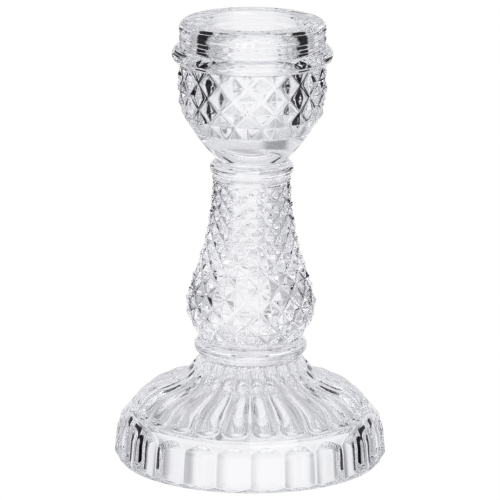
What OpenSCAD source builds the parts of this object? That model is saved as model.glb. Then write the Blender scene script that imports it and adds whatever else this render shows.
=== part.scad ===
// Pressed glass candlestick: fluted round foot, diamond-point baluster stem between two
// beaded collars, and a diamond-point candle cup with a beaded rim. Millimetres, +Z up,
// origin on the axis at the plane the foot ring stands on. The pressed parts are solid
// glass and are joined face to face at the collars.

/* [Foot] */
// Widest diameter of the foot, at the lower edge of its wall
foot_d = 66; // [50:0.5:90]
// Height of the foot, from the table to the lower collar
foot_h = 26; // [18:0.5:36]
// Diameter of the waist where the foot meets the lower collar
foot_neck_d = 24.2; // [18:0.2:32]
// Number of scooped flutes around the foot
flutes = 25; // [16:1:36]
// Depth of a flute on the wall
flute_depth = 1.0; // [0.4:0.1:1.6]
// Depth of a groove on the skirt, at its toe
groove_depth = 1.3; // [0.4:0.1:1.8]
// Width of the ring the foot stands on
foot_ring_w = 3.8; // [3:0.1:8]
// Height of the hollow under the foot
hollow_h = 18.5; // [8:0.5:20]

/* [Collars] */
// Height of the lower collar
lower_collar_h = 4.6; // [3:0.1:8]
// Diameter over the lower bead
lower_bead_d = 27.3; // [24:0.1:36]
// Height of the upper collar
upper_collar_h = 5.5; // [4:0.1:9]
// Diameter over the upper bead
upper_bead_d = 20.2; // [17:0.1:28]

/* [Stem] */
// Height of the stem between the collars
stem_h = 38.4; // [25:0.2:60]
// Largest diameter of the stem, over the diamond points
belly_d = 32; // [26:0.2:40]
// Smallest diameter of the stem, over the diamond points
stem_neck_d = 19.2; // [15:0.2:26]
// Diamonds around the stem and the cup
diamonds = 16; // [10:1:24]
// Half rows of diamonds up the stem
stem_rows = 17; // [11:2:23]
// Height of a diamond point over the valleys, as a share of the radius
point_share = 0.052; // [0.02:0.002:0.08]

/* [Candle cup] */
// Height of the cup, from the upper collar to the rim
cup_h = 33.5; // [28:0.5:48]
// Diameter of the cup in the valleys between the diamonds
cup_d = 34.6; // [31:0.2:44]
// Bore for the candle
socket_d = 22.6; // [18:0.1:27]
// Depth of the bore below the rim
socket_depth = 26; // [20:0.5:32]
// Width of the lead-in around the mouth of the bore
lip_w = 0.8; // [0.4:0.1:1.6]
// Diameter over the half-round bead under the rim
rim_bead_d = 38.6; // [34:0.2:48]
// Diameter of the wheel-cut rim above the bead
rim_d = 35.4; // [31:0.2:46]

/* [Hidden] */
$fn = 96;
glass = [0.90, 0.93, 0.95, 0.35];
foot_r = foot_d / 2;
neck_r = foot_neck_d / 2;
stem_z = foot_h + lower_collar_h;
upper_z = stem_z + stem_h;
cup_z = upper_z + upper_collar_h;
top_z = cup_z + cup_h;
lower_seat_r = neck_r;
stem_seat_r = stem_neck_d / 2 - 0.3;
cup_seat_r = upper_bead_d / 2 - 1.65;
socket_floor_z = top_z - socket_depth;
cup_floor = cup_h - socket_depth;      // glass under the bore
// the bowl widens faster where there is less glass under the bore, so the bore keeps its wall
bowl_rise = cup_floor * 67 / 30;
column_turn = -3.75;           // one column of diamonds stands just left of the front

// ---- helpers ----
function mix(a, b, t) = a + (b - a) * t;
function clamp01(x) = min(1, max(0, x));
function bezier(p, t) = p[0] * pow(1 - t, 3) + p[1] * 3 * t * pow(1 - t, 2)
    + p[2] * 3 * t * t * (1 - t) + p[3] * pow(t, 3);
function bezier_slope(p, t) = (p[1] - p[0]) * pow(1 - t, 2)
    + (p[2] - p[1]) * 2 * t * (1 - t) + (p[3] - p[2]) * t * t;

// A closed skin over rings of points: rings[j][i], bottom ring first, all with n points.
// zigzag turns the diagonal of every other quad, so that creases can follow the valleys.
module skin(rings, n, zigzag = false) {
    m = len(rings);
    pts = [for (r = rings) each r];
    side = [for (j = [0:m - 2], i = [0:n - 1])
        let (k = (i + 1) % n, a = j * n + i, b = j * n + k, c = a + n, d = b + n)
        each (zigzag && (i + j) % 2 == 1) ? [[a, d, b], [a, c, d]] : [[a, c, b], [b, c, d]]];
    floor_cap = [[for (i = [0:n - 1]) i]];
    roof_cap = [[for (i = [n - 1:-1:0]) (m - 1) * n + i]];
    polyhedron(points = pts, faces = concat(side, floor_cap, roof_cap), convexity = 10);
}

// ---- foot ----
flute_pitch = 360 / flutes;
wall_foot = [foot_r, foot_h * 0.073];
wall_top = [foot_r - foot_h * 0.021, foot_h * 0.29];
shoulder = [foot_r - foot_h * 0.081, foot_h * 0.413];
toe = [foot_r - foot_h * 0.196, foot_h * 0.554];
wall_curve = [wall_foot, mix(wall_foot, wall_top, 0.35), mix(wall_foot, wall_top, 0.7), wall_top];
shoulder_curve = [wall_top, [wall_top[0] - 0.15, wall_top[1] + foot_h * 0.055],
    [shoulder[0] + foot_h * 0.035, shoulder[1] - foot_h * 0.04], shoulder];
nose_curve = [shoulder, mix(shoulder, toe, 0.33), mix(shoulder, toe, 0.67), toe];
skirt_curve = [toe, [toe[0] - foot_h * 0.218, toe[1] + foot_h * 0.269],
    [neck_r + foot_h * 0.246, foot_h * 0.61], [neck_r, foot_h]];
function on_curves(u) =            // u runs 0..4: wall, shoulder, nose, skirt
    u < 1 ? bezier(wall_curve, u) : u < 2 ? bezier(shoulder_curve, u - 1)
    : u < 3 ? bezier(nose_curve, u - 2) : bezier(skirt_curve, min(1, u - 3));
function slope_at(u) = u < 1 ? bezier_slope(wall_curve, u) : u < 2 ? bezier_slope(shoulder_curve, u - 1)
    : u < 3 ? bezier_slope(nose_curve, u - 2) : bezier_slope(skirt_curve, min(1, u - 3));
// Scoop depth at u along the profile and s across the flute (-1..1, a ridge at each end).
// The wall flutes end in an arch on the shoulder, the skirt flutes in a round toe above it.
function wall_scoop(u, s) = flute_depth
    * max(0, 1 - s * s * 0.94 - pow(max(0, u - 1.35) / 0.72, 2));
function skirt_scoop(u, s, r) = groove_depth * mix(0.6, 1, clamp01((r - neck_r) / (toe[0] - neck_r)))
    * max(0, 1 - s * s * 0.94 - pow(max(0, 3 - u) / 0.4, 2));
function scooped(u, s) = let (p = on_curves(u), t = slope_at(u), l = norm(t),
    d = max(wall_scoop(u, s), skirt_scoop(u, s, p[0]))) [p[0] - t[1] / l * d, p[1] + t[0] / l * d];
foot_steps = concat([0, 0.4, 0.8, 1.0, 1.25, 1.5, 1.75, 2.0, 2.3, 2.6, 2.9],
    [for (k = [0:10]) 3.02 + k * 0.098]);
foot_cols = flutes * 4;
module foot() color(glass) difference() {
    union() {
        skin(concat(
            [[for (i = [0:foot_cols - 1]) let (a = i * 360 / foot_cols - 90)
                [(foot_r - 1.3) * cos(a), (foot_r - 1.3) * sin(a), foot_h * 0.02]]],
            [for (u = foot_steps) [for (i = [0:foot_cols - 1])
                let (a = i * 360 / foot_cols - 90, s = (i % 4) / 2 - 1,
                    w = i % 4 == 0 ? 1 : s, p = u > 3.95 ? [neck_r, foot_h] : scooped(u, w))
                [p[0] * cos(a), p[0] * sin(a), p[1]]]]), foot_cols);
        // the ring the foot stands on
        rotate_extrude() polygon([[0, 0], [foot_r - 1.5, 0], [foot_r - 1.15, 0.35],
            [foot_r - 1.15, foot_h * 0.03], [foot_r - 2.5, foot_h * 0.1], [0, foot_h * 0.1]]);
    }
    // hollow left by the plunger: steep sides, then a cone up to a flat crown
    mouth_r = foot_r - 1.5 - foot_ring_w;
    side_r = mouth_r - 0.3;
    rotate_extrude() polygon([[0, -1], [mouth_r, -1], [mouth_r, 0], [side_r + 0.1, hollow_h * 0.17],
        [side_r - 0.1, hollow_h * 0.38], [side_r - 1, hollow_h * 0.52], [side_r * 0.38, hollow_h],
        [0, hollow_h]]);
}

// ---- collars: a short column with a half-round bead ----
module bead(over_d, tube_r, z) translate([0, 0, z])
    rotate_extrude() translate([over_d / 2 - tube_r, 0]) circle(r = tube_r, $fn = 48);

module lower_collar() color(glass) union() {
    translate([0, 0, foot_h]) cylinder(r = lower_seat_r, h = lower_collar_h);
    bead(lower_bead_d, lower_collar_h * 0.43, foot_h + lower_collar_h * 0.5);
}

module upper_collar() color(glass) union() {
    translate([0, 0, upper_z]) cylinder(r = cup_seat_r, h = upper_collar_h);
    translate([0, 0, upper_z]) cylinder(r = stem_seat_r, h = upper_collar_h * 0.26);
    bead(upper_bead_d, upper_collar_h * 0.32, upper_z + upper_collar_h * 0.58);
}

// ---- stem ----
belly_z = 0.21 * stem_h;           // the widest place, above the lower collar
function stem_r(h) = h < belly_z
    ? belly_d / 2 - (belly_d / 2 - lower_seat_r - 0.2) * pow((belly_z - h) / belly_z, 2)
    : let (t = (h - belly_z) / (stem_h - belly_z))
        stem_neck_d / 2 + (belly_d - stem_neck_d) / 2 * exp(-pow(t / 0.46, 1.55)) * (1 - pow(t, 6));
// each half row is as tall as the diamonds there are wide, so the pattern scales with the stem;
// the first row line is hidden in the collar
first_row = -0.036 * stem_h;
function row_heights(j, h = first_row) = j == 0 ? [h]
    : concat([h], row_heights(j - 1, h + 0.187 * stem_r(max(0, min(h, stem_h)))));
raw_rows = row_heights(stem_rows);
stem_h_rows = [for (j = [0:stem_rows]) j == 0 ? 0
    : first_row + (raw_rows[j] - first_row) * (stem_h - first_row) / (raw_rows[stem_rows] - first_row)];
module stem() color(glass) skin([for (j = [0:stem_rows]) let (h = stem_h_rows[j],
        seat = j == 0 ? lower_seat_r : j == stem_rows ? stem_seat_r : 0)
    [for (i = [0:2 * diamonds - 1]) let (a = i * 180 / diamonds - 90 + column_turn,
            r = seat > 0 ? seat : stem_r(h) * ((i + j) % 2 == 0 ? 1 : 1 - point_share))
        [r * cos(a), r * sin(a), stem_z + h]]], 2 * diamonds, true);

// ---- candle cup ----
bead_r = 2.05;
bead_z = top_z - 8.1;
cup_r = cup_d / 2;
lattice_z = [7.3, 11, 14.2, 17.4, 20.7, 23.9];   // diamond rows above the collar, for a cup_h of 33.5
function lattice_h(j) = lattice_z[j] * (cup_h / 33.5);
function bowl_r(h) = let (t = clamp01(h / bowl_rise))
    cup_seat_r + (cup_r - cup_seat_r) * sin(90 * pow(t, 0.9));
bowl_steps = 14;
module cup_blank() rotate_extrude() polygon(concat(
    [[0, cup_z]],
    [for (k = [0:bowl_steps]) let (h = bowl_rise * k / bowl_steps)
        [bowl_r(h) - (k == 0 ? 0 : 0.25 * clamp01(h - 6)), cup_z + h]],
    [[cup_r - 0.25, bead_z - 1.9], [cup_r - 0.25, bead_z], [rim_d / 2 - 0.3, bead_z + 1.6],
        [rim_d / 2 - 0.35, top_z - 5.4], [rim_d / 2 - 0.05, top_z - 4.3], [rim_d / 2 - 0.3, top_z - 3.2],
        [rim_d / 2, top_z - 1.9], [rim_d / 2 - 0.3, top_z - 0.75], [rim_d / 2 - 1.1, top_z], [0, top_z]]));
module cup_diamonds() skin([for (j = [0:5]) let (h = lattice_h(j))
    [for (i = [0:2 * diamonds - 1]) let (a = i * 180 / diamonds - 90 + column_turn,
            point = j > 0 && j < 5 && (i + j) % 2 == 1,
            r = j == 0 ? bowl_r(h) - 0.5 : min(bowl_r(h), cup_r) + (point ? cup_r * point_share : 0))
        [r * cos(a), r * sin(a), cup_z + h]]], 2 * diamonds, true);
module candle_cup() color(glass) difference() {
    union() {
        cup_blank();
        cup_diamonds();
        bead(rim_bead_d, bead_r, bead_z);
    }
    translate([0, 0, socket_floor_z]) cylinder(d = socket_d, h = socket_depth + 1);
    translate([0, 0, top_z - 1.1])
        cylinder(r1 = socket_d / 2, r2 = socket_d / 2 + 2 * lip_w, h = 2.2);
}

foot();
lower_collar();
stem();
upper_collar();
candle_cup();
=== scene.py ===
import bpy
import bmesh
import math
from mathutils import Matrix, Quaternion, Vector


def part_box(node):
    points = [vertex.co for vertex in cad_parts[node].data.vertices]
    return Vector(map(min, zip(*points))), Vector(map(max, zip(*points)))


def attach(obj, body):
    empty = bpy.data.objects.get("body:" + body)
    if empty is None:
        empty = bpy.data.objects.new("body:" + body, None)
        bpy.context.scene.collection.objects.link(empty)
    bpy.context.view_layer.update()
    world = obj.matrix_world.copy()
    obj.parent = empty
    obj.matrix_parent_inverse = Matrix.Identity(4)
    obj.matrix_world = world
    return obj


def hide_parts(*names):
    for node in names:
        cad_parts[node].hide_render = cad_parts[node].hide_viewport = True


# A pressed glass candlestick: five fused pieces on one axis, on a white table.
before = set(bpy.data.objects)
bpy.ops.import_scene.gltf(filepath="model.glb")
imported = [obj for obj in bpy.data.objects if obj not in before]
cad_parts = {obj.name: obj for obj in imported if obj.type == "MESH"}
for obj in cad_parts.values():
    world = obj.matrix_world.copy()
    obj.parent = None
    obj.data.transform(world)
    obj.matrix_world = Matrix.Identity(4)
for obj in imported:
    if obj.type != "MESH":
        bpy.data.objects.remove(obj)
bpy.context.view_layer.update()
print("frame loaded:", ", ".join(sorted(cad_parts)))

mm = 0.001
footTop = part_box("foot")[1].z / mm
stemLow, stemTop = (corner.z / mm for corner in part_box("stem"))
cupLow, cupTop = (corner.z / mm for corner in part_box("candle_cup"))


def mix(a, b, t):
    return a + (b - a) * t


def clamp(value, low=0.0, high=1.0):
    return max(low, min(high, value))


def softAbs(x, width):  # |x| with a round bottom, still 1 at 1
    return (math.sqrt(x * x + width * width) - width) / (math.sqrt(1 + width * width) - width)


def softMin(a, b, width):  # the lower of two slopes, with a rounded crest
    return 0.5 * (a + b - math.sqrt((a - b) ** 2 + width * width))


def softMax(a, b, width):  # the higher of two slopes, with a rounded valley
    return 0.5 * (a + b + math.sqrt((a - b) ** 2 + width * width))


def bezierPoint(points, t):
    s = 1 - t
    weights = (s ** 3, 3 * s * s * t, 3 * s * t * t, t ** 3)
    return tuple(sum(w * p[k] for w, p in zip(weights, points)) for k in (0, 1))


def slopeAt(points, t):  # direction of the curve at t, one unit long
    nudge = 0.001
    a, b = bezierPoint(points, max(0, t - nudge)), bezierPoint(points, min(1, t + nudge))
    dx, dy = b[0] - a[0], b[1] - a[1]
    length = math.hypot(dx, dy)
    return dx / length, dy / length


def roundedPath(corners, segments=4):  # (radius, height, rounding) corners, in millimetres
    path = []
    for k, corner in enumerate(corners):
        r, z = corner[0], corner[1]
        radius = corner[2] if len(corner) > 2 else 0
        if radius == 0 or k in (0, len(corners) - 1):
            path.append((r, z))
            continue
        here = Vector((r, z))
        before = (Vector(corners[k - 1][:2]) - here)
        after = (Vector(corners[k + 1][:2]) - here)
        cut = min(radius, before.length * 0.49, after.length * 0.49)  # short of the next rounding
        start, end = here + before.normalized() * cut, here + after.normalized() * cut
        for step in range(segments + 1):
            t = step / segments
            point = start * (1 - t) ** 2 + here * 2 * t * (1 - t) + end * t * t
            path.append((point.x, point.y))
    return path


# A grid is wrapped round the axis. sections holds one flute or diamond, column by column, and
# each column runs from the middle underneath to the middle on top as (share, radius, height).
def wrapSkin(name, sections, repeats, turn=0.0):
    period, rows = len(sections), len(sections[0])
    columns = period * repeats
    bm = bmesh.new()
    bmesh.ops.create_grid(bm, x_segments=columns, y_segments=rows - 1, size=0.5)
    for vertex in bm.verts:
        column = round((vertex.co.x + 0.5) * columns)
        row = round((vertex.co.y + 0.5) * (rows - 1))
        share, r, z = sections[column % period][row]
        angle = math.radians(turn - 90 + 360 * (column // period + share) / repeats)
        vertex.co = (r * math.cos(angle) * mm, r * math.sin(angle) * mm, z * mm)
    bmesh.ops.remove_doubles(bm, verts=bm.verts, dist=2e-7)  # the seam and both poles
    bmesh.ops.recalc_face_normals(bm, faces=bm.faces)
    return finished(name, bm)


def latheProfile(name, path, steps):
    bm = bmesh.new()
    verts = [bm.verts.new((r * mm, 0, z * mm)) for r, z in path]
    edges = [bm.edges.new(pair) for pair in zip(verts, verts[1:])]
    bmesh.ops.spin(bm, geom=verts + edges, cent=(0, 0, 0), axis=(0, 0, 1), dvec=(0, 0, 0),
                   angle=math.tau, steps=steps, use_merge=True, use_duplicate=False)
    bmesh.ops.remove_doubles(bm, verts=bm.verts, dist=1e-6)
    bmesh.ops.recalc_face_normals(bm, faces=bm.faces)
    return finished(name, bm)


def finished(name, bm):
    if bm.calc_volume(signed=True) < 0:
        bmesh.ops.reverse_faces(bm, faces=bm.faces)
    mesh = bpy.data.meshes.new(name)
    for face in bm.faces:
        face.smooth = True
    bm.to_mesh(mesh)
    bm.free()
    piece = bpy.data.objects.new(name, mesh)
    bpy.context.scene.collection.objects.link(piece)
    return piece


# Glass all over, but the flat joint faces at the given levels pass light straight on.
def giveMaterials(piece, glass, levels):
    nearLevel = 0.004
    piece.data.materials.append(glass)
    piece.data.materials.append(fusedJoint)
    for face in piece.data.polygons:
        heights = [piece.data.vertices[v].co.z / mm for v in face.vertices]
        for level in levels:
            if max(abs(h - level) for h in heights) < nearLevel:
                face.material_index = 1
                face.use_smooth = False


def newGroup(name, inputs, outputs):
    group = bpy.data.node_groups.new(name, "ShaderNodeTree")
    for label, kind, value in inputs:
        socket = group.interface.new_socket(name=label, in_out="INPUT", socket_type=kind)
        if value is not None:
            socket.default_value = value
    for label, kind in outputs:
        group.interface.new_socket(name=label, in_out="OUTPUT", socket_type=kind)
    start = group.nodes.new("NodeGroupInput")
    end = group.nodes.new("NodeGroupOutput")
    return group, start, end


def makeMouldRipple():  # slow waves that a press mould leaves in cooling glass
    group, start, end = newGroup(
        "mouldRipple",
        [("Vector", "NodeSocketVector", None), ("Wave Scale", "NodeSocketFloat", 90.0)],
        [("Height", "NodeSocketFloat")])
    wave = group.nodes.new("ShaderNodeTexNoise")
    wave.inputs["Detail"].default_value = 1.0
    wave.inputs["Distortion"].default_value = 0.6
    link = group.links.new
    link(start.outputs["Vector"], wave.inputs["Vector"])
    link(start.outputs["Wave Scale"], wave.inputs["Scale"])
    link(wave.outputs["Fac"], end.inputs["Height"])
    return group


def makeGlassTint():  # very slow change of tint through the metal of the glass
    group, start, end = newGroup(
        "glassTint",
        [("Vector", "NodeSocketVector", None), ("Scale", "NodeSocketFloat", 25.0),
         ("Clear", "NodeSocketColor", (1, 1, 1, 1)), ("Grey", "NodeSocketColor", (0.95, 0.96, 0.97, 1))],
        [("Color", "NodeSocketColor")])
    cloud = group.nodes.new("ShaderNodeTexNoise")
    cloud.inputs["Detail"].default_value = 1.0
    blend = group.nodes.new("ShaderNodeMix")
    blend.data_type = "RGBA"
    link = group.links.new
    link(start.outputs["Vector"], cloud.inputs["Vector"])
    link(start.outputs["Scale"], cloud.inputs["Scale"])
    link(cloud.outputs["Fac"], blend.inputs["Factor"])
    link(start.outputs["Clear"], blend.inputs[6])
    link(start.outputs["Grey"], blend.inputs[7])
    link(blend.outputs[2], end.inputs["Color"])
    return group


mouldRipple, glassTint = makeMouldRipple(), makeGlassTint()

glassFinish = {
    "index": 1.52, "clear": 0.995, "grey": 0.97,
    # waves of the mould ripple per metre, and its depth in millimetres
    "footRipple": (70, 0.012), "stemRipple": (140, 0.001),
    "collarRipple": (90, 0.0), "cupRipple": (80, 0.006),
}


def pressedGlass(name, ripples):
    material = bpy.data.materials.new(name)
    material.use_nodes = True
    nodes, link = material.node_tree.nodes, material.node_tree.links.new
    shader = nodes["Principled BSDF"]
    shader.inputs["Transmission Weight"].default_value = 1.0
    shader.inputs["Metallic"].default_value = 0.0
    shader.inputs["Roughness"].default_value = 0.0
    shader.inputs["IOR"].default_value = glassFinish["index"]
    place = nodes.new("ShaderNodeTexCoord")
    ripple = nodes.new("ShaderNodeGroup")
    ripple.node_tree = mouldRipple
    ripple.inputs["Wave Scale"].default_value = ripples[0]
    bump = nodes.new("ShaderNodeBump")
    bump.inputs["Strength"].default_value = 1.0
    bump.inputs["Distance"].default_value = ripples[1] * mm
    tint = nodes.new("ShaderNodeGroup")
    tint.node_tree = glassTint
    clear, grey = glassFinish["clear"], glassFinish["grey"]
    tint.inputs["Clear"].default_value = (clear, clear, clear, 1)
    tint.inputs["Grey"].default_value = (grey, grey * 1.004, grey * 1.008, 1)  # a trace of blue
    link(place.outputs["Object"], ripple.inputs["Vector"])
    link(place.outputs["Object"], tint.inputs["Vector"])
    link(ripple.outputs["Height"], bump.inputs["Height"])
    link(bump.outputs["Normal"], shader.inputs["Normal"])
    link(tint.outputs["Color"], shader.inputs["Base Color"])
    return material


def makeFusedJoint():  # two faces of glass melted into one: nothing shows and light goes straight on
    material = bpy.data.materials.new("fusedJoint")
    material.use_nodes = True
    shader = material.node_tree.nodes["Principled BSDF"]
    shader.inputs["Base Color"].default_value = (1, 1, 1, 1)
    shader.inputs["Roughness"].default_value = 0.0
    shader.inputs["Transmission Weight"].default_value = 1.0
    shader.inputs["Alpha"].default_value = 0.0
    return material


fusedJoint = makeFusedJoint()
footGlass = pressedGlass("footGlass", glassFinish["footRipple"])
stemGlass = pressedGlass("stemGlass", glassFinish["stemRipple"])
collarGlass = pressedGlass("collarGlass", glassFinish["collarRipple"])
cupGlass = pressedGlass("cupGlass", glassFinish["cupRipple"])
print("materials made")


# Sizes are in millimetres and shares have no unit. A corner is a radius and a height.
footSizes = {
    "flutes": 25, "columns": 18, "depth": 1.0, "ridge": 0.05, "ridgeShare": 0.94,
    "grooveDepth": 1.9, "neckDepthShare": 0.6, "grooveShare": 0.88, "neckShare": 0.97, "grooveFlat": 2.8,
    # where the flutes and grooves end along the outline, which counts 1 for each curve
    "archStart": 1.35, "archLength": 0.72, "toeRound": 0.4,
    "wallFoot": (33.0, 1.76), "wallTop": (32.45, 7.54), "shoulder": (30.9, 10.74),
    "toe": (27.9, 14.4), "neck": 12.1, "ringIn": 27.7, "ringOut": 31.75,
    "hollowSide": 27.4, "hollowTop": 18.5,
    # how far the curves are pulled at their ends
    "overWall": (-0.15, 1.43), "underShoulder": (0.91, -1.04), "overToe": (-5.67, 7.0), "besideNeck": 6.4,
    "neckPullHeight": 15.86,
}


def moved(point, by):
    return point[0] + by[0], point[1] + by[1]


# The outer curves, bottom to top: shoulder, nose and skirt. The wall below them is straight.
def footCurves():
    sizes = footSizes
    wallTop, shoulder, toe = sizes["wallTop"], sizes["shoulder"], sizes["toe"]
    neck = (sizes["neck"], footTop)
    nose = [tuple(mix(shoulder[k], toe[k], t) for k in (0, 1)) for t in (0.33, 0.67)]
    return [[wallTop, moved(wallTop, sizes["overWall"]), moved(shoulder, sizes["underShoulder"]), shoulder],
            [shoulder] + nose + [toe],
            [toe, moved(toe, sizes["overToe"]),
             (neck[0] + sizes["besideNeck"], sizes["neckPullHeight"]), neck]]


# One column of a flute, share 0 to 1 across it: up inside the hollow, under the ring, up the outside.
def footSection(share):
    sizes, curves = footSizes, footCurves()
    s = -math.cos(math.pi * share)
    inner = clamp(1 - softAbs(1 - abs(s), sizes["ridge"]))  # 1 at a ridge, 0 in the middle of a flute
    bowl = 1 - sizes["ridgeShare"] * inner * inner
    wallFoot, wallTop, toe = sizes["wallFoot"], sizes["wallTop"], sizes["toe"]
    neck = (sizes["neck"], footTop)

    def scoop(u, r):  # depth of the wall flute or the skirt groove, whichever is deeper
        wall = bowl - (max(0, u - sizes["archStart"]) / sizes["archLength"]) ** 2
        out = clamp((r - neck[0]) / (toe[0] - neck[0]))
        width = mix(sizes["neckShare"], sizes["grooveShare"], out)
        skirt = 1 - (inner / width) ** sizes["grooveFlat"] - (max(0, 3.0 - u) / sizes["toeRound"]) ** 2
        wall, skirt = softMax(wall, 0, 0.05), softMax(skirt, 0, 0.10)
        return max(sizes["depth"] * wall, sizes["grooveDepth"] * mix(sizes["neckDepthShare"], 1, out) * skirt)

    def surface(u):  # u runs 1 to 2 over the shoulder, to 3 over the nose and to 4 up the skirt
        curve = curves[min(2, int(u) - 1)]
        t = u - min(3, int(u))
        r, z = bezierPoint(curve, t)
        dr, dz = slopeAt(curve, t)
        d = scoop(u, r) * clamp((4 - u) / 0.1)
        return r - dz * d, z + dr * d

    # the plunger's hollow, steep at its sides, then the ring the foot stands on and its chamfer
    side, crown = sizes["hollowSide"], sizes["hollowTop"]
    path = roundedPath([(0.0, crown), (side * 0.38, crown, 2.5), (side - 1.0, crown * 0.52, 1.5),
                        (side - 0.1, crown * 0.38, 1.0), (side + 0.1, crown * 0.17)], 8)
    d = sizes["depth"] * bowl
    top = (wallTop[0] - d, wallTop[1])
    wallRadius = wallFoot[0] - d
    chamferRadius, chamferZ = sizes["ringOut"] + 0.1, 0.5
    chamfer = (wallFoot[1] - chamferZ) / (wallFoot[0] - chamferRadius)
    corners = [path[-1], (sizes["ringIn"], 0.0, 0.5), (sizes["ringOut"] - 0.2, 0.0, 0.35),
               (chamferRadius, chamferZ, 0.15),
               (wallRadius, chamferZ + (wallRadius - chamferRadius) * chamfer, 0.25), top]
    path = path[:-1] + roundedPath(corners, 5)[:-1]
    low = path[-1]
    path += [(mix(low[0], top[0], k / 6.5), mix(low[1], top[1], k / 6.5)) for k in range(1, 7)]
    path += [surface(1.0 + k * 0.048) for k in range(25)]
    path += [surface(2.2 + k * 0.045) for k in range(1, 25)]
    path += [surface(3.3 + k * 0.7 / 29) for k in range(29)] + [neck]
    path += [(neck[0] * (1 - k / 3), neck[1]) for k in (1, 2, 3)]
    return [(0.5 - 0.5 * math.cos(math.pi * share), r, z) for r, z in path]


def makeFoot():
    count = footSizes["columns"]
    sections = [footSection(k / count) for k in range(count)]
    piece = wrapSkin("glassFoot", sections, footSizes["flutes"])
    giveMaterials(piece, footGlass, [footTop])
    return piece


collarSizes = {"lowerBead": 13.65, "lowerTube": 1.98, "upperBead": 10.1, "upperTube": 1.7, "beadHeight": 3.25,
               "ringTube": 0.62, "ringHeight": 0.75, "lowerSeat": 12.1, "stemSeat": 9.3, "cupSeat": 8.45,
               "steps": 192}


def halfRound(overRadius, tube, z, spread=88):  # a half-round bead in a profile, bottom to top
    return [(overRadius - tube + tube * math.cos(math.radians(a)), z + tube * math.sin(math.radians(a)))
            for a in range(-spread, spread + 1, 8)]


def makeLowerCollar():
    sizes = collarSizes
    seat, middle = sizes["lowerSeat"], (footTop + stemLow) / 2
    bead = halfRound(sizes["lowerBead"], sizes["lowerTube"], middle)
    path = [(0, footTop), (seat * 0.5, footTop), (seat, footTop), (seat + 0.02, footTop + 0.12)]
    path += bead[2:-2]
    path += [(seat + 0.02, stemLow - 0.12), (seat, stemLow), (seat * 0.5, stemLow), (0, stemLow)]
    piece = latheProfile("glassLowerCollar", path, sizes["steps"])
    giveMaterials(piece, collarGlass, [footTop, stemLow])
    return piece


def makeUpperCollar():
    sizes = collarSizes
    stemSeat, cupSeat = sizes["stemSeat"], sizes["cupSeat"]
    bead = halfRound(sizes["upperBead"], sizes["upperTube"], stemTop + sizes["beadHeight"], 80)
    ring = halfRound(stemSeat + 0.25, sizes["ringTube"], stemTop + sizes["ringHeight"], 72)
    waist = roundedPath([ring[-1], (cupSeat + 0.2, stemTop + 1.5, 0.2), bead[0]], 3)[1:-1]
    neck = roundedPath([bead[-1], (cupSeat - 0.05, stemTop + 4.95, 0.3), (cupSeat, cupLow)], 4)[1:]
    path = [(0, stemTop), (stemSeat * 0.5, stemTop), (stemSeat, stemTop)]
    path += ring + waist + bead + neck + [(cupSeat * 0.5, cupLow), (0, cupLow)]
    piece = latheProfile("glassUpperCollar", path, sizes["steps"])
    giveMaterials(piece, collarGlass, [stemTop, cupLow])
    return piece


# cells are the grid steps across half a diamond; valley and crest round its edges
stemSizes = {"diamonds": 16, "rows": 17, "cells": 12, "belly": 16.0, "neck": 9.6, "relief": 0.056,
             "valley": 0.10, "crest": 0.03, "turn": -3.75, "firstRow": -1.4, "rowShare": 0.187,
             "bellyShare": 0.21, "taper": 0.46, "taperPower": 1.55, "endPower": 6}


def stemRadius(h):  # over the diamond points, at a height above the lower collar
    height = stemTop - stemLow
    bellyHeight = stemSizes["bellyShare"] * height
    belly, neck, seat = stemSizes["belly"], stemSizes["neck"], collarSizes["lowerSeat"] + 0.2
    if h < bellyHeight:
        return belly - (belly - seat) * ((bellyHeight - h) / bellyHeight) ** 2
    t = (h - bellyHeight) / (height - bellyHeight)
    taper = math.exp(-((t / stemSizes["taper"]) ** stemSizes["taperPower"]))
    return neck + (belly - neck) * taper * (1 - t ** stemSizes["endPower"])


def rowHeights():  # each half row is as tall as the diamonds there are wide
    heights = [stemSizes["firstRow"]]
    for j in range(stemSizes["rows"]):
        heights.append(heights[-1] + stemSizes["rowShare"] * stemRadius(max(0, heights[-1])))
    scale = (stemTop - stemLow - heights[0]) / (heights[-1] - heights[0])
    return [heights[0] + (h - heights[0]) * scale for h in heights]


# Height of the diamond pattern, 1 on a point and 0 in a valley; p counts half diamonds
# round the axis and q counts half rows.
def pointHeight(p, q, valley, crest):
    a, b = (p + q) / 2, (p - q) / 2
    edgeA = softAbs(1 - 2 * abs(a - round(a)), valley)
    edgeB = softAbs(1 - 2 * abs(b - round(b)), valley)
    return softMin(edgeA, edgeB, crest)


def stemSection(column):
    sizes, cells = stemSizes, stemSizes["cells"]
    heights, top = rowHeights(), stemTop - stemLow
    lowerSeat, stemSeat = collarSizes["lowerSeat"], collarSizes["stemSeat"]
    path = [(lowerSeat * k / 3, stemLow) for k in range(4)]
    for row in range(cells // 2 + 1, sizes["rows"] * cells):
        q = row / cells
        j = int(q)
        h = mix(heights[j], heights[j + 1], q - j)
        if h < 0.02:  # still inside the collar
            continue
        r = stemRadius(h)
        r *= 1 - sizes["relief"] * (1 - pointHeight(column / cells, q, sizes["valley"], sizes["crest"]))
        r = mix(stemSeat, r, clamp((top - h) / 0.8) ** 0.5)
        r = mix(lowerSeat, r, clamp(h / 0.6) ** 0.5)
        path.append((r, stemLow + h))
    path += [(stemSeat * (1 - k / 3), stemTop) for k in range(4)]
    return [(column / (2 * cells), r, z) for r, z in path]


def makeStem():
    sections = [stemSection(column) for column in range(2 * stemSizes["cells"])]
    piece = wrapSkin("glassStem", sections, stemSizes["diamonds"], stemSizes["turn"])
    giveMaterials(piece, stemGlass, [stemLow, stemTop])
    return piece


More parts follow.
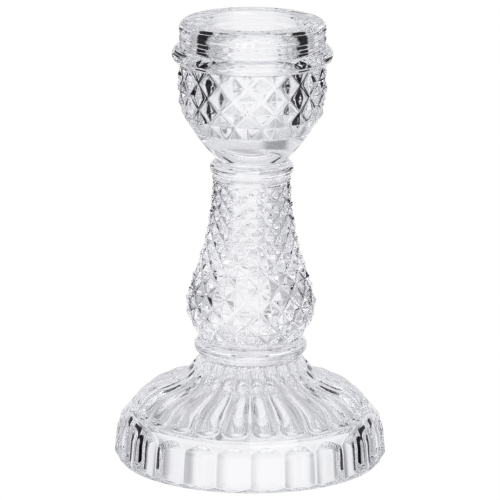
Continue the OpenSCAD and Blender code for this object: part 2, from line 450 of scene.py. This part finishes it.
cupSizes = {"radius": 17.2, "relief": 0.85, "beadOut": 19.3, "beadTube": 2.0, "beadDown": 8.1, "rim": 17.7,
            "bore": 11.3, "boreDepth": 26.0, "mouth": 12.1, "cells": 10, "valley": 0.16, "crest": 0.05,
            "bands": (7.3, 11.0, 14.1, 17.35, 20.6, 23.8), "plainTo": 7.0, "cutTo": 24.0, "rows": 64,
            "bowlPower": 0.9, "tipPower": 1.35}


def bowlRadius(h):
    seat = collarSizes["cupSeat"]
    t = clamp(h / ((cupTop - cupLow) * 0.5))
    return seat + (cupSizes["radius"] - seat) * math.sin(math.pi / 2 * t ** cupSizes["bowlPower"])


def cupPoint(p, h):  # height of the pattern at h above the collar, with the rows at the bands' heights
    bands, power = cupSizes["bands"], cupSizes["tipPower"]
    if h < bands[0] or h > bands[-1] + 1:
        return 0.0
    for j in range(len(bands) - 1):
        if h <= bands[j + 1] or j == len(bands) - 2:
            q = j + (h - bands[j]) / (bands[j + 1] - bands[j])
            break
    if q < 1:  # the lowest points end in rounded tips on the bowl
        away = abs((p + 1) % 2 - 1)
        edge = 1 - (away ** power + (1 - q) ** power) ** (1 / power)
        return softMax(edge, 0, 0.03)
    return pointHeight(p, q + 1, cupSizes["valley"], cupSizes["crest"])


def cupSection(column):
    sizes, cells = cupSizes, cupSizes["cells"]
    p = column / cells
    seat, beadZ, plainTo = collarSizes["cupSeat"], cupTop - sizes["beadDown"], sizes["plainTo"]
    path = [(seat * k / 3, cupLow) for k in range(4)]
    path += [(bowlRadius(plainTo * k / 14), cupLow + plainTo * k / 14) for k in range(1, 14)]
    for k in range(sizes["rows"] + 1):
        h = mix(plainTo, sizes["cutTo"], k / sizes["rows"])
        path.append((bowlRadius(h) + sizes["relief"] * cupPoint(p, h), cupLow + h))
    bead = halfRound(sizes["beadOut"], sizes["beadTube"], beadZ, 72)
    rim, bore, boreFloor = sizes["rim"], sizes["bore"], cupTop - sizes["boreDepth"]
    path += bead + roundedPath([
        bead[-1], (rim - 0.3, beadZ + 1.75, 0.25), (rim - 0.35, cupTop - 5.4, 0.3),
        (rim - 0.02, cupTop - 4.35, 0.45), (rim - 0.3, cupTop - 3.2, 0.4), (rim, cupTop - 1.95, 0.5),
        (rim - 0.25, cupTop - 0.8, 0.3), (rim - 1.1, cupTop, 0.4), (sizes["mouth"], cupTop, 0.3),
        (bore, cupTop - 1.1, 0.3), (bore, boreFloor, 0.5), (0, boreFloor)], 5)[1:]
    return [(column / (2 * cells), r, z) for r, z in path]


def makeCup():
    sections = [cupSection(column) for column in range(2 * cupSizes["cells"])]
    piece = wrapSkin("glassCandleCup", sections, stemSizes["diamonds"], stemSizes["turn"])
    giveMaterials(piece, cupGlass, [cupLow])
    return piece


pieces = {"foot": makeFoot(), "lower_collar": makeLowerCollar(), "stem": makeStem(),
          "upper_collar": makeUpperCollar(), "candle_cup": makeCup()}
for node, piece in pieces.items():
    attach(piece, "root")
    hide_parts(node)
    print("piece", piece.name, "faces", len(piece.data.polygons))


studioSizes = {
    "tableRadius": 4.0, "tableDrop": 0.0002, "tableGlow": 1.0,
    "lampPlace": (0.6, -1.0, 1.6), "lampSize": (1.2, 0.8), "lampEnergy": 4.5,
    # shade of the room by height above or below the horizon, in degrees
    "room": ((-90, 0.68), (-45, 0.74), (-30, 0.80), (-19, 0.90), (-9, 0.80), (1, 0.95), (10, 0.74),
             (20, 0.70), (35, 0.60), (60, 0.70), (90, 0.8)),
    # soft-edged cards and boxes: shade, middle and half width round the room, low and high edge, feather;
    # the box in front is there twice because the angle round the room ends at 180
    "panels": (
        ("backdropLeft", 0.62, -34, 16, -25, 0, 5), ("backdropRight", 0.60, 34, 16, -25, 0, 5),
        ("sweepLeft", 0.60, -23, 11, -60, -10, 8),
        ("flagLeft", 0.01, -63, 20, -40, 6, 4), ("flagRight", 0.01, 64, 20, -40, 6, 4),
        ("gapLeft", 0.6, -91, 10, -36, 4, 4), ("gapRight", 0.6, 91, 10, -36, 4, 4),
        ("flagLeftFront", 0.01, -111, 12, -38, 5, 4), ("flagRightFront", 0.01, 111, 12, -38, 5, 4),
        ("boxFront", 1.5, 180, 48, -28, 12, 4), ("boxFrontToo", 1.5, -180, 48, -28, 12, 4),
        ("shadeLeft", 0.45, -19, 10, 8, 28, 5)),
}


def mathStep(tree, operation, first, second=None, number=None):
    node = tree.nodes.new("ShaderNodeMath")
    node.operation = operation
    tree.links.new(first, node.inputs[0])
    if second is not None:
        tree.links.new(second, node.inputs[1])
    elif number is not None:
        node.inputs[1].default_value = number
    return node.outputs[0]


def makeSoftPanel():  # 1 inside a soft-edged panel of the room, 0 outside
    labels = ("Around", "Up", "Middle", "Half Width", "Centre", "Half Height", "Feather")
    group, start, end = newGroup(
        "softPanel", [(label, "NodeSocketFloat", 0.0) for label in labels], [("Mask", "NodeSocketFloat")])
    give = start.outputs

    def beyond(place, middle, half):  # how far a direction lies outside the panel, one way
        away = mathStep(group, "ABSOLUTE", mathStep(group, "SUBTRACT", give[place], give[middle]))
        return mathStep(group, "SUBTRACT", away, give[half])

    spread = group.nodes.new("ShaderNodeMapRange")
    spread.interpolation_type = "SMOOTHSTEP"
    farther = mathStep(group, "MAXIMUM", beyond("Around", "Middle", "Half Width"),
                       beyond("Up", "Centre", "Half Height"))
    link = group.links.new
    link(farther, spread.inputs["Value"])
    link(give["Feather"], spread.inputs["From Min"])
    link(mathStep(group, "MULTIPLY", give["Feather"], number=-1.0), spread.inputs["From Max"])
    link(spread.outputs["Result"], end.inputs["Mask"])
    return group


def coolGrey(shade):
    return shade * 0.992, shade * 0.992, shade * 1.012 + 0.004, 1


def makeRoom():  # white to the camera; for the glass a pale room with dark flags at both sides
    world = bpy.data.worlds.new("studio")
    bpy.context.scene.world = world
    world.use_nodes = True
    tree = world.node_tree
    nodes, link = tree.nodes, tree.links.new
    place = nodes.new("ShaderNodeTexCoord")
    split = nodes.new("ShaderNodeSeparateXYZ")
    link(place.outputs["Generated"], split.inputs["Vector"])
    degree = 180 / math.pi
    turn = mathStep(tree, "ARCTAN2", split.outputs["X"], split.outputs["Y"])
    around = mathStep(tree, "MULTIPLY", turn, number=degree)
    up = mathStep(tree, "MULTIPLY", mathStep(tree, "ARCSINE", split.outputs["Z"]), number=degree)
    ramp = nodes.new("ShaderNodeValToRGB")
    height = nodes.new("ShaderNodeMapRange")
    height.inputs["From Min"].default_value, height.inputs["From Max"].default_value = -90, 90
    link(up, height.inputs["Value"])
    link(height.outputs["Result"], ramp.inputs["Fac"])
    stops = studioSizes["room"]
    while len(ramp.color_ramp.elements) < len(stops):
        ramp.color_ramp.elements.new(0.5)
    for element, (angle, shade) in zip(ramp.color_ramp.elements, stops):
        element.position = (angle + 90) / 180
        element.color = coolGrey(shade)
    colour = ramp.outputs["Color"]
    softPanel = makeSoftPanel()
    for name, shade, middle, halfWidth, low, high, feather in studioSizes["panels"]:
        panel = nodes.new("ShaderNodeGroup")
        panel.node_tree, panel.label = softPanel, name
        for label, value in (("Middle", middle), ("Half Width", halfWidth), ("Centre", (low + high) / 2),
                             ("Half Height", (high - low) / 2), ("Feather", feather)):
            panel.inputs[label].default_value = value
        link(around, panel.inputs["Around"])
        link(up, panel.inputs["Up"])
        blend = nodes.new("ShaderNodeMix")
        blend.data_type = "RGBA"
        link(panel.outputs["Mask"], blend.inputs["Factor"])
        link(colour, blend.inputs[6])
        blend.inputs[7].default_value = coolGrey(shade)
        colour = blend.outputs[2]
    path = nodes.new("ShaderNodeLightPath")
    pick = nodes.new("ShaderNodeMix")
    pick.data_type = "RGBA"
    link(path.outputs["Is Camera Ray"], pick.inputs["Factor"])
    link(colour, pick.inputs[6])
    pick.inputs[7].default_value = (1, 1, 1, 1)
    link(pick.outputs[2], nodes["Background"].inputs["Color"])


def makeTable():
    bm = bmesh.new()
    bmesh.ops.create_circle(bm, cap_ends=True, segments=96, radius=studioSizes["tableRadius"],
                            matrix=Matrix.Translation((0, 0, -studioSizes["tableDrop"])))
    table = finished("table", bm)
    material = bpy.data.materials.new("tablePaper")
    material.use_nodes = True
    shader = material.node_tree.nodes["Principled BSDF"]
    shader.inputs["Base Color"].default_value = (0.0, 0.0, 0.0, 1)
    shader.inputs["Roughness"].default_value = 1.0
    shader.inputs["Specular IOR Level"].default_value = 0.0
    shader.inputs["Emission Color"].default_value = (1, 1, 1, 1)
    shader.inputs["Emission Strength"].default_value = studioSizes["tableGlow"]
    table.data.materials.append(material)
    table.visible_transmission = table.visible_glossy = False  # the glass sees the room's lower half


def makeLamp():
    lamp = bpy.data.lights.new("softBox", "AREA")
    lamp.shape, lamp.energy = "RECTANGLE", studioSizes["lampEnergy"]
    lamp.size, lamp.size_y = studioSizes["lampSize"]
    light = bpy.data.objects.new("softBox", lamp)
    light.location = studioSizes["lampPlace"]
    light.rotation_euler = (Vector((0, 0, 0.05)) - light.location).to_track_quat("-Z", "Y").to_euler()
    bpy.context.scene.collection.objects.link(light)


makeTable()
makeRoom()
makeLamp()
print("studio made")


cameraSizes = {"sensor": 36, "lens": 347.2, "place": (0, -1.1245, 0.3399), "aim": (-0.0003, 0, 0.0516),
               "roll": 0.375, "near": 0.05, "far": 20}


def makeCamera():
    sizes = cameraSizes
    data = bpy.data.cameras.new("camera")
    data.sensor_width, data.lens = sizes["sensor"], sizes["lens"]
    data.clip_start, data.clip_end = sizes["near"], sizes["far"]
    camera = bpy.data.objects.new("camera", data)
    camera.location = sizes["place"]
    aim = Vector(sizes["aim"]) - camera.location
    roll = Quaternion((0, 0, 1), math.radians(sizes["roll"]))
    camera.rotation_mode = "QUATERNION"
    camera.rotation_quaternion = aim.to_track_quat("-Z", "Y") @ roll
    bpy.context.scene.collection.objects.link(camera)
    bpy.context.scene.camera = camera


# tone is a contrast curve, (level, shown) pairs; the bounces let light pass every wall of the glass
viewSizes = {"tone": ((0.3, 0.15), (0.6, 0.53), (0.8, 0.85)), "allBounces": 32, "glassBounces": 28,
             "shineBounces": 20, "jointBounces": 32}


def setView():
    scene = bpy.context.scene
    view = scene.view_settings
    view.view_transform = "Standard"
    view.use_curve_mapping = True
    for level, shown in viewSizes["tone"]:
        view.curve_mapping.curves[3].points.new(level, shown)
    view.curve_mapping.update()
    scene.cycles.blur_glossy = 0.0
    scene.cycles.max_bounces = viewSizes["allBounces"]
    scene.cycles.transmission_bounces = viewSizes["glassBounces"]
    scene.cycles.glossy_bounces = viewSizes["shineBounces"]
    scene.cycles.transparent_max_bounces = viewSizes["jointBounces"]


makeCamera()
setView()
print("camera and view set")
